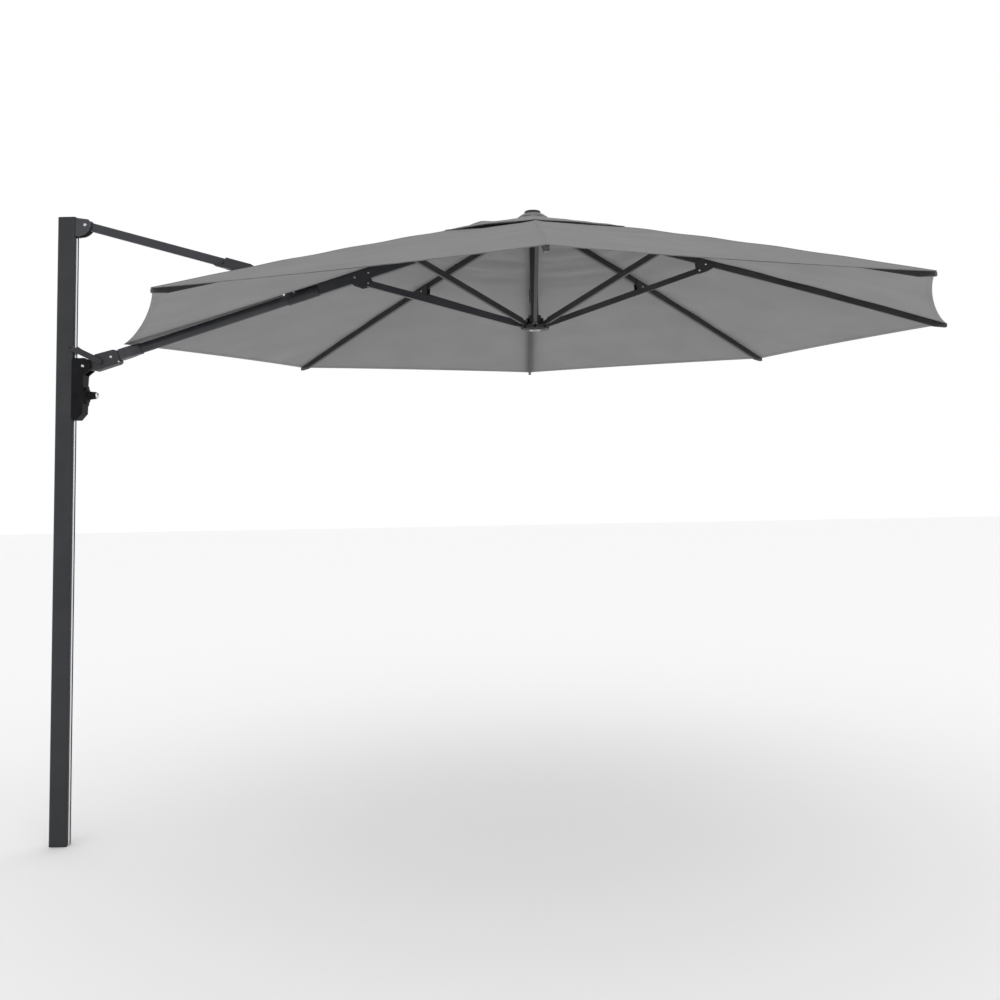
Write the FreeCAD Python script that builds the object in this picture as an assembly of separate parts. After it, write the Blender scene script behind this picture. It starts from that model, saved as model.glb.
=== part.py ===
import FreeCAD
import Part

import math
import os

Vector = FreeCAD.Vector

# A cantilever parasol, open. Millimetres, +Z up. The origin is the middle of the post's foot.
# The arm runs from the post towards +X, and the canopy's axis stands at x = HUB_X.

# Driving dimensions
POST_DEPTH = 72.0
POST_WIDTH = 50.0
POST_HEIGHT = 2485.0
RIM_Z = 1975.0            # height of the canopy's eight corners
CANOPY_R = 1650.0         # hub axis to a corner
HUB_X = 1895.0
RIB_COUNT = 8             # counting the arm, which is the rib that points back at the post

# Fold linkage: the top pivot, elbow and carriage pivot are the corners of an isosceles triangle
PIVOT_X = 76.0
TOP_PIVOT_Z = 2450.0
CARRIAGE_PIVOT_Z = 1873.0
ELBOW_X = 900.0
ELBOW_Z = (TOP_PIVOT_Z + CARRIAGE_PIVOT_Z) / 2

# Umbrella linkage: every crown pivot and runner pivot stands PIVOT_R from the hub axis
PIVOT_R = 45.0
CROWN_Z = RIM_Z + 446.0
RUNNER_Z = RIM_Z + 29.0
BRACKET_R = 668.0
BRACKET_Z = (CROWN_Z + RUNNER_Z) / 2
ARM_BRACKET_R = 670.0
ARM_BRACKET_Z = RIM_Z + 212.0

RIB_HEIGHT = 25.0
RIB_WIDTH = 14.0
RIB_BOW = 9.0
RIB_END_Z = RIM_Z - 13.0
STRUT_HEIGHT = 22.0
STRUT_WIDTH = 13.2
ARM_STRUT_HEIGHT = 26.0
TUBE_WALL = 1.5
TONGUE_WIDTH = 7.0
SLOT_WIDTH = 9.4
PIN_R = 3.0
PIN_CLEARANCE = 0.06
FABRIC = 2.0
FABRIC_GAP = 3.6          # between the top of a rib and the cloth

TOP_PIVOT = (PIVOT_X, TOP_PIVOT_Z)
CARRIAGE_PIVOT = (PIVOT_X, CARRIAGE_PIVOT_Z)
ELBOW = (ELBOW_X, ELBOW_Z)
ARM_CROWN_PIVOT = (HUB_X - PIVOT_R, CROWN_Z)
ARM_BRACKET = (HUB_X - ARM_BRACKET_R, ARM_BRACKET_Z)
ARM_RUNNER_PIVOT = (HUB_X - PIVOT_R, RUNNER_Z)

NODES = {}


# ---------------------------------------------------------------- making and placing shapes

def at(x, z, y=0.0):
    return Vector(x, y, z)


def outline(start, *steps):
    """A closed wire in the XZ plane. A step is (x, z), or ((x, z), (x, z)) for an arc's middle and end."""
    edges = []
    here = at(*start)
    for step in steps + (start,):
        if isinstance(step[0], tuple):
            end = at(*step[1])
            edges.append(Part.Arc(here, at(*step[0]), end).toShape())
        else:
            end = at(*step)
            if here.distanceToPoint(end) > 1e-6:
                edges.append(Part.LineSegment(here, end).toShape())
        here = end
    return Part.Wire(edges)


def plate(wire, y_low, y_high):
    """The outline as a solid between two Y planes."""
    shape = Part.Face(wire).extrude(Vector(0, y_high - y_low, 0))
    shape.translate(Vector(0, y_low, 0))
    return shape


def cheeks(wire, inner, outer):
    """Two mirrored plates, from inner to outer off the middle plane."""
    return [plate(wire, inner, outer), plate(wire, -outer, -inner)]


def block(x_low, x_high, half_width, z_low, z_high):
    corner = Vector(x_low, -half_width, z_low)
    return Part.makeBox(x_high - x_low, 2 * half_width, z_high - z_low, corner)


def cross_rod(centre, radius, half_length):
    """A rod along Y, centred on the middle plane."""
    x, z = centre
    return Part.makeCylinder(radius, 2 * half_length, Vector(x, -half_length, z), Vector(0, 1, 0))


def upright(radius, z_low, z_high):
    return Part.makeCylinder(radius, z_high - z_low, Vector(0, 0, z_low))


def lengthwise(radius, x_low, x_high):
    return Part.makeCylinder(radius, x_high - x_low, Vector(x_low, 0, 0), Vector(1, 0, 0))


def round_edges(shape, radius, direction):
    """Fillets the straight edges that run along direction."""
    edges = [e for e in shape.Edges if abs(e.tangentAt(e.FirstParameter).dot(direction)) > 0.999]
    return shape.makeFillet(radius, edges)


def square_tube(length, height, width, wall, corner=2.5):
    """A tube along +X from the origin, with rounded long edges."""
    bar = round_edges(block(0, length, width / 2, -height / 2, height / 2), corner, Vector(1, 0, 0))
    hole = block(-1, length + 1, width / 2 - wall, -height / 2 + wall, height / 2 - wall)
    return bar.cut(hole)


def stand(shape, origin, angle):
    """Carries a shape made along +X from the origin into place, turned up by angle in degrees."""
    shape = shape.copy()
    shape.rotate(Vector(0, 0, 0), Vector(0, 1, 0), -angle)
    shape.translate(at(*origin))
    return shape


def radial(shape, azimuth):
    """Carries a shape made around the Z axis at x = 0 to the hub, turned to an azimuth in degrees."""
    shape = shape.copy()
    shape.rotate(Vector(0, 0, 0), Vector(0, 0, 1), azimuth)
    shape.translate(Vector(HUB_X, 0, 0))
    return shape


def bolt(centre, half_grip, shank_r, head_r, head_height):
    """A bolt along Y through a joint that is half_grip thick to each side, with a domed head on each end."""
    shape = cross_rod(centre, shank_r, half_grip)
    for side in (1, -1):
        foot = Vector(centre[0], side * half_grip, centre[1])
        shape = shape.fuse(Part.makeCone(head_r, head_r * 0.7, head_height, foot, Vector(0, side, 0)))
    return shape.removeSplitter()


def angle_of(a, b):
    return math.degrees(math.atan2(b[1] - a[1], b[0] - a[0]))


def keep(name, *shapes):
    """Stores a node: one solid, or a group of separate solids."""
    solids = [solid for shape in shapes for solid in shape.Solids]
    NODES[name] = solids[0] if len(solids) == 1 else Part.makeCompound(solids)


# ---------------------------------------------------------------- post

FRONT = POST_DEPTH / 2
POST_WALL = 3.0
POST_CORNER = 9.0
CAP_THICKNESS = 4.0
CHANNEL_HALF = 15.0
CHANNEL_DEPTH = 13.0
RAIL_TOP = 2400.0
UPRIGHT = Vector(0, 0, 1)


def make_post():
    """An extruded post. Its front has an open channel with a T-shaped bare aluminium rail standing in it."""
    tube_top = POST_HEIGHT - CAP_THICKNESS
    tube = round_edges(block(-FRONT, FRONT, POST_WIDTH / 2, 0, tube_top), POST_CORNER, UPRIGHT)
    bore_half = POST_WIDTH / 2 - POST_WALL
    bore_front = FRONT - CHANNEL_DEPTH - POST_WALL
    bore = block(-FRONT + POST_WALL, bore_front, bore_half, -1, tube_top + 1)
    bore = round_edges(bore, POST_CORNER - POST_WALL, UPRIGHT)
    channel = block(FRONT - CHANNEL_DEPTH, FRONT + 1, CHANNEL_HALF, -1, tube_top + 1)
    keep("post_tube", tube.cut(bore).cut(channel))

    foot = block(FRONT - CHANNEL_DEPTH, FRONT - CHANNEL_DEPTH + 3, 12.0, 0, RAIL_TOP)
    stem = block(FRONT - CHANNEL_DEPTH, FRONT - 2, 3.0, 0, RAIL_TOP)
    head = block(FRONT - 3.5, FRONT - 0.3, 7.0, 0, RAIL_TOP)
    keep("guide_rail", foot.fuse(stem).fuse(head).removeSplitter())

    plug = block(-FRONT + POST_WALL, bore_front, bore_half, 0, 25.0)
    keep("post_foot_plug", round_edges(plug, POST_CORNER - POST_WALL, UPRIGHT))

    lid = round_edges(block(-FRONT, FRONT, POST_WIDTH / 2, tube_top, POST_HEIGHT), POST_CORNER, UPRIGHT)
    lid = lid.makeFillet(1.5, [e for e in lid.Edges if e.BoundBox.ZMin > POST_HEIGHT - 0.01])
    plug = block(-FRONT + POST_WALL + 6, bore_front - 6, bore_half - 6, tube_top - 20, tube_top)
    keep("post_top_cap", lid.fuse(plug).removeSplitter())


def make_top_bracket():
    """A bracket on the post's front: a back plate and two cheeks that hold the upper strut's pivot."""
    back_front = FRONT + 6
    bracket = block(FRONT + 0.1, back_front, 23.0, 2405, 2480)
    cheek = outline((back_front, 2480), (88, 2473), (100, 2459), (100, 2446),
                    ((82, 2419), (back_front, 2407)))
    for side in cheeks(cheek, 17.5, 23.0):
        bracket = bracket.fuse(side)
    keep("top_bracket", bracket.cut(cross_rod(TOP_PIVOT, 6.0, 30)).removeSplitter())
    screws = [Part.makeCylinder(5.0, 3.5, Vector(back_front, 0, z), Vector(1, 0, 0)) for z in (2413, 2473)]
    keep("top_bracket_screws", *screws)
    keep("top_pivot_bolt", bolt(TOP_PIVOT, 23.0, 6.0, 8.0, 4.0))


# ---------------------------------------------------------------- upper strut

TUBE_ANGLE = -16.33       # the strut tube's slope; its end fitting drops from it to the elbow
UPPER_TUBE_HEIGHT = 34.0
UPPER_TUBE_WIDTH = 26.0
UPPER_TUBE_END = 612.0
FITTING_HEIGHT = 41.0
FITTING_END = 622.0
LEG_FULL = 700.0          # the fork's legs keep the sleeve's height as far as this


def elbow_in_strut_frame():
    reach = math.dist(TOP_PIVOT, ELBOW)
    turn = math.radians(angle_of(TOP_PIVOT, ELBOW) - TUBE_ANGLE)
    return reach * math.cos(turn), reach * math.sin(turn)


def make_upper_strut():
    """A rectangular tube with an eye at the post and a forked fitting that straddles the arm at the elbow."""
    tube = square_tube(UPPER_TUBE_END - 22, UPPER_TUBE_HEIGHT, UPPER_TUBE_WIDTH, 2.0, 4.0)
    tube.translate(Vector(22, 0, 0))
    keep("upper_strut_tube", stand(tube, TOP_PIVOT, TUBE_ANGLE))

    eye = outline((0, -16.5), (21.9, -16.5), (21.9, -14.8), (70, -14.8), (70, 14.8), (21.9, 14.8),
                  (21.9, 16.5), (0, 16.5), ((-16.5, 0), (0, -16.5)))
    plug = plate(eye, -10.8, 10.8)
    for side in (16.9, -16.9):
        boss = Part.makeCylinder(13.0, abs(side) - 10.8, Vector(0, math.copysign(10.8, side), 0),
                                 Vector(0, math.copysign(1, side), 0))
        plug = plug.fuse(boss)
    plug = plug.cut(cross_rod((0, 0), 6.0 + PIN_CLEARANCE, 30)).removeSplitter()
    keep("upper_strut_eye", stand(plug, TOP_PIVOT, TUBE_ANGLE))

    half = FITTING_HEIGHT / 2
    sleeve = plate(outline((550, -half), (FITTING_END, -half), (FITTING_END, half), (600, half)), -17, 17)
    pocket = block(500, UPPER_TUBE_END, UPPER_TUBE_WIDTH / 2, -UPPER_TUBE_HEIGHT / 2, UPPER_TUBE_HEIGHT / 2)
    yoke = block(UPPER_TUBE_END - 18, FITTING_END, 29.5, -half, half)
    elbow = elbow_in_strut_frame()
    heading = math.radians(angle_of((LEG_FULL, 0), elbow))
    across = (-math.sin(heading) * 13, math.cos(heading) * 13)
    past = (math.cos(heading) * 13, math.sin(heading) * 13)
    leg = outline((UPPER_TUBE_END - 18, -half), (LEG_FULL - 30, -half),
                  (elbow[0] - across[0], elbow[1] - across[1]),
                  ((elbow[0] + past[0], elbow[1] + past[1]), (elbow[0] + across[0], elbow[1] + across[1])),
                  (LEG_FULL, half), (UPPER_TUBE_END - 18, half))
    fitting = sleeve.fuse(yoke)
    for side in cheeks(leg, 25.5, 29.5):
        fitting = fitting.fuse(side)
    fitting = fitting.cut(pocket).cut(cross_rod(elbow, 6.0 + PIN_CLEARANCE, 40)).removeSplitter()
    keep("upper_strut_fitting", stand(fitting, TOP_PIVOT, TUBE_ANGLE))

    screws = []
    for side in (17, -17):
        foot = Vector(585, side, -2)
        screws.append(Part.makeCone(4.5, 3.2, 2.5, foot, Vector(0, math.copysign(1, side), 0)))
    keep("upper_strut_screws", *[stand(screw, TOP_PIVOT, TUBE_ANGLE) for screw in screws])


# ---------------------------------------------------------------- arm

ARM_ANGLE = angle_of(CARRIAGE_PIVOT, ARM_CROWN_PIVOT)
ARM_LENGTH = math.dist(CARRIAGE_PIVOT, ARM_CROWN_PIVOT)
ARM_HEIGHT = 43.0
LOWER_TUBE_R = 20.5
SLEEVE_R = 23.5
ARM_END_HALF = 22.5
COLLAR_START = 180.0
COLLAR_END = 236.0
SLEEVE_START = 858.0
SLEEVE_END = 988.0
LINK_PIVOT_ALONG = 70.0
LINK_PIVOT_OFF = -5.0


def on_arm(shape):
    """From the arm's own frame, x along it from the carriage pivot, into place."""
    return stand(shape, CARRIAGE_PIVOT, ARM_ANGLE)


def in_arm_frame(place):
    """A place's distance along the arm and its height off the arm's axis."""
    turn = math.radians(ARM_ANGLE)
    dx, dz = place[0] - CARRIAGE_PIVOT[0], place[1] - CARRIAGE_PIVOT[1]
    return dx * math.cos(turn) + dz * math.sin(turn), dz * math.cos(turn) - dx * math.sin(turn)


def from_arm_frame(along, off):
    turn = math.radians(ARM_ANGLE)
    return (CARRIAGE_PIVOT[0] + along * math.cos(turn) - off * math.sin(turn),
            CARRIAGE_PIVOT[1] + along * math.sin(turn) + off * math.cos(turn))


def make_arm_end():
    """The cast end on the carriage pivot, the neck bolted into it and the pointed collar."""
    body = outline((41, -34), (60, -34), (137, -34), (146, -27), (146, 19), (132, 27), (60, 31), (44, 27))
    casting = plate(body, -ARM_END_HALF, ARM_END_HALF)
    tongue = outline((0, -18), (44, -30), (44, 20), (0, 18), ((-18, 0), (0, -18)))
    casting = casting.fuse(plate(tongue, -20.5, 20.5))
    casting = casting.cut(cross_rod((0, 0), 6.0 + PIN_CLEARANCE, 40))
    casting = casting.cut(cross_rod((LINK_PIVOT_ALONG, LINK_PIVOT_OFF), 5.0 + PIN_CLEARANCE, 40))
    casting = casting.cut(block(88, 160, 18.0, -19, 19))
    bolts = [bolt((116, 1), ARM_END_HALF, 4.0, 6.0, 2.5), bolt((141, -27), ARM_END_HALF, 2.5, 4.0, 2.0)]
    neck = block(90, COLLAR_START, 17.9, -18.9, 18.9).cut(bolts[0])
    sleeve = plate(outline((150.5, -21.5), (COLLAR_START, -21.5), (COLLAR_START, 21.5), (150.5, 21.5)), -21, 21)
    keep("arm_neck", on_arm(neck.fuse(sleeve).removeSplitter()))
    for piece in bolts:
        casting = casting.cut(piece)
    keep("arm_end_casting", on_arm(casting.removeSplitter()))
    keep("arm_end_bolts", *[on_arm(piece) for piece in bolts])

    length = COLLAR_END - COLLAR_START
    taper = Part.makeCone(31, SLEEVE_R - 1, length, Vector(COLLAR_START, 0, 0), Vector(1, 0, 0))
    collar = block(COLLAR_START, COLLAR_END, 21.5, -21.5, 21.5).common(taper)
    collar = collar.fuse(lengthwise(SLEEVE_R, COLLAR_END - 5, COLLAR_END + 2))
    collar = collar.cut(lengthwise(LOWER_TUBE_R, COLLAR_START + 4, 300)).removeSplitter()
    keep("arm_collar", on_arm(collar))

    tube = lengthwise(LOWER_TUBE_R, COLLAR_START + 4, SLEEVE_START + 60)
    tube = tube.cut(lengthwise(LOWER_TUBE_R - 2, COLLAR_START + 4, SLEEVE_START + 60))
    keep("arm_lower_tube", on_arm(tube))


def make_elbow_sleeve():
    """The sleeve that joins the arm's two tubes. The upper tube's spigot turns in it, and its ears hold the elbow."""
    sleeve = lengthwise(SLEEVE_R, SLEEVE_START, SLEEVE_END)
    for groove in (SLEEVE_START + 14, SLEEVE_END - 18):
        ring = lengthwise(SLEEVE_R + 1, groove, groove + 4).cut(lengthwise(SLEEVE_R - 1.2, groove, groove + 4))
        sleeve = sleeve.cut(ring)
    elbow = in_arm_frame(ELBOW)
    ear = outline((elbow[0] - 22, 8), (elbow[0] + 26, 8), (elbow[0] + 10, elbow[1] + 2),
                  ((elbow[0], elbow[1] + 10), (elbow[0] - 10, elbow[1] + 2)))
    for side in cheeks(ear, 15.0, 22.0):
        sleeve = sleeve.fuse(side)
    sleeve = sleeve.cut(lengthwise(LOWER_TUBE_R, SLEEVE_START - 20, SLEEVE_START + 60))
    sleeve = sleeve.cut(lengthwise(17.0 + PIN_CLEARANCE, SLEEVE_START, SLEEVE_END + 1))
    sleeve = sleeve.cut(cross_rod(elbow, 6.0, 40))
    bolts = []
    for along, off in ((SLEEVE_START + 30, 0.0), (SLEEVE_END - 8, -9.0)):
        for side in (1, -1):
            foot = Vector(along, side * (SLEEVE_R - 2.5), off)
            bolts.append(Part.makeCylinder(3.5, 4.0, foot, Vector(0, side, 0)))
    for piece in bolts:
        sleeve = sleeve.cut(piece)
    keep("arm_sleeve", on_arm(sleeve.removeSplitter()))
    keep("arm_sleeve_bolts", *[on_arm(piece) for piece in bolts])
    keep("elbow_pin", on_arm(bolt(elbow, 29.9, 6.0, 9.0, 3.0)))


UPPER_TUBE_HALF_WIDTH = 15.0
UPPER_TUBE_TIP = 62.0     # how far the upper tube stops short of the crown pivot


def make_upper_arm():
    """The rectangular upper tube with its spigot, its end fork at the crown and the arm strut's bracket."""
    start = SLEEVE_END + 1.0
    end = ARM_LENGTH - UPPER_TUBE_TIP
    tube = square_tube(end - start, ARM_HEIGHT, 2 * UPPER_TUBE_HALF_WIDTH, 2.0, 4.0)
    tube.translate(Vector(start, 0, 0))

    inner_height = ARM_HEIGHT / 2 - 2.0
    spigot = lengthwise(17.0, SLEEVE_START + 62, start).fuse(
        block(start, start + 60, UPPER_TUBE_HALF_WIDTH - 2, -inner_height, inner_height))
    keep("tilt_spigot", on_arm(spigot.removeSplitter()))

    eye = outline((end - 40, -inner_height), (end, -inner_height), (ARM_LENGTH, -12),
                  ((ARM_LENGTH + 12, 0), (ARM_LENGTH, 12)), (end, inner_height), (end - 40, inner_height))
    tongue = plate(eye, -TONGUE_WIDTH / 2, TONGUE_WIDTH / 2)
    tongue = tongue.fuse(block(end - 40, end, UPPER_TUBE_HALF_WIDTH - 2, -inner_height, inner_height))
    tongue = tongue.cut(cross_rod((ARM_LENGTH, 0), PIN_R + PIN_CLEARANCE, 20)).removeSplitter()
    keep("arm_crown_eye", on_arm(tongue))

    rivet = in_arm_frame(ARM_BRACKET)
    half = ARM_HEIGHT / 2
    cheek = outline((rivet[0] - 63, -half - 1), (rivet[0] - 30, rivet[1] - 9),
                    (rivet[0] + 2, rivet[1] - 13), ((rivet[0] + 13, rivet[1] - 7), (rivet[0] + 16, rivet[1] + 2)),
                    (rivet[0] + 18, half - 2), (rivet[0] - 63, half - 2))
    bolt_places = ((rivet[0] - 44, 0.0), (rivet[0] + 14, 1.0))
    bolts = [bolt(place, 18.0, 4.0, 5.5, 2.5) for place in bolt_places]
    bracket = cheeks(cheek, UPPER_TUBE_HALF_WIDTH, UPPER_TUBE_HALF_WIDTH + 3)
    rivet_bolt = bolt(rivet, UPPER_TUBE_HALF_WIDTH + 3, PIN_R, 4.5, 2.0)
    keep("arm_bracket", *[on_arm(side.cut(bolts[0]).cut(bolts[1]).cut(rivet_bolt)) for side in bracket])
    keep("arm_bracket_bolts", *[on_arm(piece) for piece in bolts + [rivet_bolt]])
    tube = tube.cut(bolts[0]).cut(bolts[1])
    keep("arm_upper_tube", on_arm(tube))


# ---------------------------------------------------------------- carriage, knob and guide link

CARRIAGE_BACK = FRONT + 1.0
CARRIAGE_FRONT = 80.0
CARRIAGE_HALF = 30.0
KNUCKLE_R = 32.0
KNOB_Z = 1755.0


def make_carriage():
    """The sliding carriage: a moulded body with a knuckle for the arm, glides on the rail and a brake pad."""
    x, z = CARRIAGE_PIVOT
    turn = math.radians(-40)
    chin = (x + KNUCKLE_R * math.cos(turn), z + KNUCKLE_R * math.sin(turn))
    side = outline((CARRIAGE_BACK, z + KNUCKLE_R + 1), (x - 8, z + KNUCKLE_R),
                   ((x + KNUCKLE_R * 0.85, z + KNUCKLE_R * 0.527), chin), (CARRIAGE_FRONT + 6, 1841),
                   (CARRIAGE_FRONT, 1834), (CARRIAGE_FRONT - 2, 1797), (CARRIAGE_FRONT + 2, 1790),
                   (CARRIAGE_FRONT + 2, 1720), (CARRIAGE_FRONT - 2, 1712), (CARRIAGE_FRONT - 3, 1682),
                   (CARRIAGE_FRONT - 12, 1672), (54, 1656), (CARRIAGE_BACK, 1656))
    body = plate(side, -CARRIAGE_HALF, CARRIAGE_HALF)
    body = body.cut(block(46, 120, 21.5, 1836, 1920))
    body = body.cut(cross_rod(CARRIAGE_PIVOT, 6.0, 40))
    wings = block(FRONT - 4.5, CARRIAGE_BACK, CARRIAGE_HALF, 1664, 1898)
    wings = wings.cut(block(20, CARRIAGE_BACK + 1, POST_WIDTH / 2 + 0.6, 1650, 1910))
    body = body.fuse(wings)
    spindle_hole = Part.makeCylinder(5.0 + PIN_CLEARANCE, 80, Vector(CARRIAGE_BACK, 0, KNOB_Z), Vector(1, 0, 0))
    pad_pocket = block(20, CARRIAGE_BACK + 4, 6.2, KNOB_Z - 20.2, KNOB_Z + 20.2)
    keep("carriage_body", body.cut(spindle_hole).cut(pad_pocket).removeSplitter())
    keep("carriage_pivot_bolt", bolt(CARRIAGE_PIVOT, CARRIAGE_HALF, 6.0, 7.0, 3.0))

    glides = []
    for z_low in (1672, 1848):
        for side_sign in (1, -1):
            hook = Part.makeBox(9.5, 5.5, 40, Vector(FRONT - 8.5, 9.0, z_low))
            hook = hook.fuse(Part.makeBox(3.5, 10.0, 40, Vector(FRONT - 8.5, 4.0, z_low))).removeSplitter()
            if side_sign < 0:
                hook = hook.mirror(Vector(0, 0, 0), Vector(0, 1, 0))
            glides.append(hook)
    keep("carriage_glides", *glides)
    keep("brake_pad", block(FRONT + 0.1, CARRIAGE_BACK + 4, 6.0, KNOB_Z - 20, KNOB_Z + 20))


KNOB_FACE = CARRIAGE_FRONT + 2.0
GRIP_END = KNOB_FACE + 42.0


def make_knob():
    """The locking knob: its threaded spindle, grip and bright end cap. Its axis runs along X."""
    def turned(*rings):
        """A solid of revolution about the knob's axis from (x, radius) corners."""
        corners = [Vector(x, 0, KNOB_Z + radius) for x, radius in rings]
        corners = [Vector(rings[0][0], 0, KNOB_Z)] + corners + [Vector(rings[-1][0], 0, KNOB_Z)]
        face = Part.Face(Part.makePolygon(corners + corners[:1]))
        return face.revolve(Vector(0, 0, KNOB_Z), Vector(1, 0, 0), 360)

    spindle = turned((CARRIAGE_BACK + 5, 5.0), (KNOB_FACE + 24, 5.0))
    keep("knob_spindle", spindle)
    grip = turned((KNOB_FACE + 0.5, 34), (KNOB_FACE + 5, 34), (KNOB_FACE + 8, 27), (KNOB_FACE + 12, 18),
                  (KNOB_FACE + 20, 16), (GRIP_END, 14))
    for turn in range(8):
        angle = math.radians(45 * turn + 22.5)
        foot = Vector(KNOB_FACE + 16, 19 * math.cos(angle), KNOB_Z + 19 * math.sin(angle))
        grip = grip.cut(Part.makeCylinder(4.0, 40, foot, Vector(1, 0, 0)))
    keep("knob_grip", grip.cut(spindle))
    keep("knob_cap", turned((GRIP_END, 13.5), (GRIP_END + 4, 12.5), (GRIP_END + 7, 9.5), (GRIP_END + 8.5, 5)))


LINK_BOSS = (24.5, 1948.0)
LINK_PIVOT = from_arm_frame(LINK_PIVOT_ALONG, LINK_PIVOT_OFF)
LINK_INNER = 28.4
LINK_OUTER = 33.4


def make_guide_link():
    """A fork from the arm's end to two rollers that run on the post's sides."""
    length = math.dist(LINK_BOSS, LINK_PIVOT)
    lean = angle_of(LINK_BOSS, LINK_PIVOT)
    bar = outline((0, -13), (20, -10), (length, -10), ((length + 10, 0), (length, 10)), (20, 10), (0, 13),
                  ((-13, 0), (0, -13)))
    boss_hole = cross_rod((0, 0), 4.0, 40)
    pin = bolt((length, 0), LINK_OUTER, 5.0, 7.0, 1.6)
    spacer = cross_rod((0.42 * length, 0), 4.0, LINK_INNER)
    sides = [side.cut(boss_hole).cut(pin) for side in cheeks(bar, LINK_INNER, LINK_OUTER)]
    keep("guide_link", *[stand(side, LINK_BOSS, lean) for side in sides])
    keep("guide_link_pins", stand(pin, LINK_BOSS, lean), stand(spacer, LINK_BOSS, lean))

    rollers = []
    for side in (1, -1):
        out = Vector(0, side, 0)
        disc = Part.makeCylinder(11.0, 2.7, Vector(0, side * 25.5, 0), out)
        stub = Part.makeCylinder(4.0, 8.0, Vector(0, side * 26, 0), out)
        head = Part.makeCone(7.0, 5.0, 2.0, Vector(0, side * LINK_OUTER, 0), out)
        rollers.append(stand(disc.fuse(stub).fuse(head).removeSplitter(), LINK_BOSS, 0))
    keep("guide_rollers", *rollers)


# ---------------------------------------------------------------- crown, runner and pole

HUB_CORE_R = 27.0
CROWN_R = 58.0
CROWN_TOP = CROWN_Z + 17
CROWN_BOTTOM = CROWN_Z - 16
RUNNER_R = 57.0
RUNNER_BOTTOM = RUNNER_Z - 21
POLE_R = 15.5


def azimuths():
    return [360.0 / RIB_COUNT * i for i in range(RIB_COUNT)]


def slots(z_low, z_high, outer):
    """Eight radial slots that the ribs' or struts' tongues swing in."""
    cut = []
    for azimuth in azimuths():
        slot = Part.makeBox(outer - HUB_CORE_R, SLOT_WIDTH, z_high - z_low,
                            Vector(HUB_CORE_R, -SLOT_WIDTH / 2, z_low))
        slot.rotate(Vector(0, 0, 0), Vector(0, 0, 1), azimuth)
        cut.append(slot)
    return Part.makeCompound(cut)


def hub_pins(azimuth_list, z):
    """The tangential pins that the ribs or struts turn on."""
    pins = []
    for azimuth in azimuth_list:
        pin = Part.makeCylinder(PIN_R, 20, Vector(PIVOT_R, -10, z), Vector(0, 1, 0))
        pin.rotate(Vector(0, 0, 0), Vector(0, 0, 1), azimuth)
        pins.append(pin)
    return pins


def rib_azimuths():
    """Every azimuth but the arm's."""
    return [azimuth for azimuth in azimuths() if azimuth != 180.0]


def make_crown():
    """The cast crown, its rib pins and the finial that clamps the cloth."""
    disc = upright(CROWN_R, CROWN_Z - 9, CROWN_TOP).fuse(upright(HUB_CORE_R - 1, CROWN_BOTTOM, CROWN_Z))
    disc = disc.cut(slots(CROWN_BOTTOM - 5, CROWN_Z + 13, CROWN_R + 5))
    pins = hub_pins(azimuths(), CROWN_Z)
    for pin in pins:
        disc = disc.cut(pin)
    keep("crown", radial(disc.removeSplitter(), 0))
    keep("crown_pins", *[radial(pin, 0) for pin in pins])

    stem = upright(10, CROWN_TOP, CROWN_Z + 40)
    cap = upright(33, CROWN_Z + 38, CROWN_Z + 50)
    cap = cap.makeFillet(5.0, [e for e in cap.Edges if e.BoundBox.ZMin > CROWN_Z + 49.9])
    knob = upright(9, CROWN_Z + 50, CROWN_Z + 53)
    keep("finial", radial(stem.fuse(cap).fuse(knob).removeSplitter(), 0))


def make_runner():
    """The runner, the light ring in its underside and the pole it carries up to the crown."""
    flange = upright(RUNNER_R, RUNNER_BOTTOM + 3, RUNNER_Z - 4)
    lower = upright(RUNNER_R - 14, RUNNER_BOTTOM, RUNNER_BOTTOM + 3)
    body = upright(36, RUNNER_Z - 4, RUNNER_Z + 26)
    neck = upright(HUB_CORE_R - 1, RUNNER_Z + 26, RUNNER_Z + 38)
    hub = flange.fuse(lower).fuse(body).fuse(neck)
    hub = hub.cut(slots(RUNNER_Z - 14, RUNNER_Z + 40, RUNNER_R + 5))
    hub = hub.cut(upright(POLE_R, RUNNER_BOTTOM + 6, RUNNER_Z + 60))
    hub = hub.cut(upright(22, RUNNER_BOTTOM - 1, RUNNER_BOTTOM + 3))
    pins = hub_pins(rib_azimuths(), RUNNER_Z)
    for pin in pins:
        hub = hub.cut(pin)
    keep("runner", radial(hub.removeSplitter(), 0))
    keep("runner_pins", *[radial(pin, 0) for pin in pins])
    ring = upright(22, RUNNER_BOTTOM - 1.5, RUNNER_BOTTOM + 3).cut(upright(12, RUNNER_BOTTOM - 2, RUNNER_BOTTOM + 4))
    keep("runner_ring", radial(ring, 0))

    pole_top = CROWN_BOTTOM - 3
    pole = upright(POLE_R, RUNNER_BOTTOM + 6, pole_top)
    pole = pole.cut(upright(POLE_R - 2, RUNNER_BOTTOM + 5, pole_top + 1))
    keep("centre_pole", radial(pole, 0))
    head = upright(POLE_R - 2, pole_top - 15, pole_top).fuse(upright(POLE_R, pole_top, pole_top + 2))
    keep("pole_head", radial(head.removeSplitter(), 0))


# ---------------------------------------------------------------- ribs and their struts

RIB_START = 64.0
RIB_TIP_LENGTH = 50.0
RIB_TIP_HEIGHT = 15.0


def rib_line(r):
    """Height of a rib's axis at a distance from the hub axis, counting its bow."""
    share = (r - PIVOT_R) / (CANOPY_R - PIVOT_R)
    chord = CROWN_Z + (RIB_END_Z - CROWN_Z) * share
    return chord + 4 * RIB_BOW * share * (1 - share)


def rib_slope(r):
    return math.degrees(math.atan2(rib_line(r + 1) - rib_line(r - 1), 2))


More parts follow.
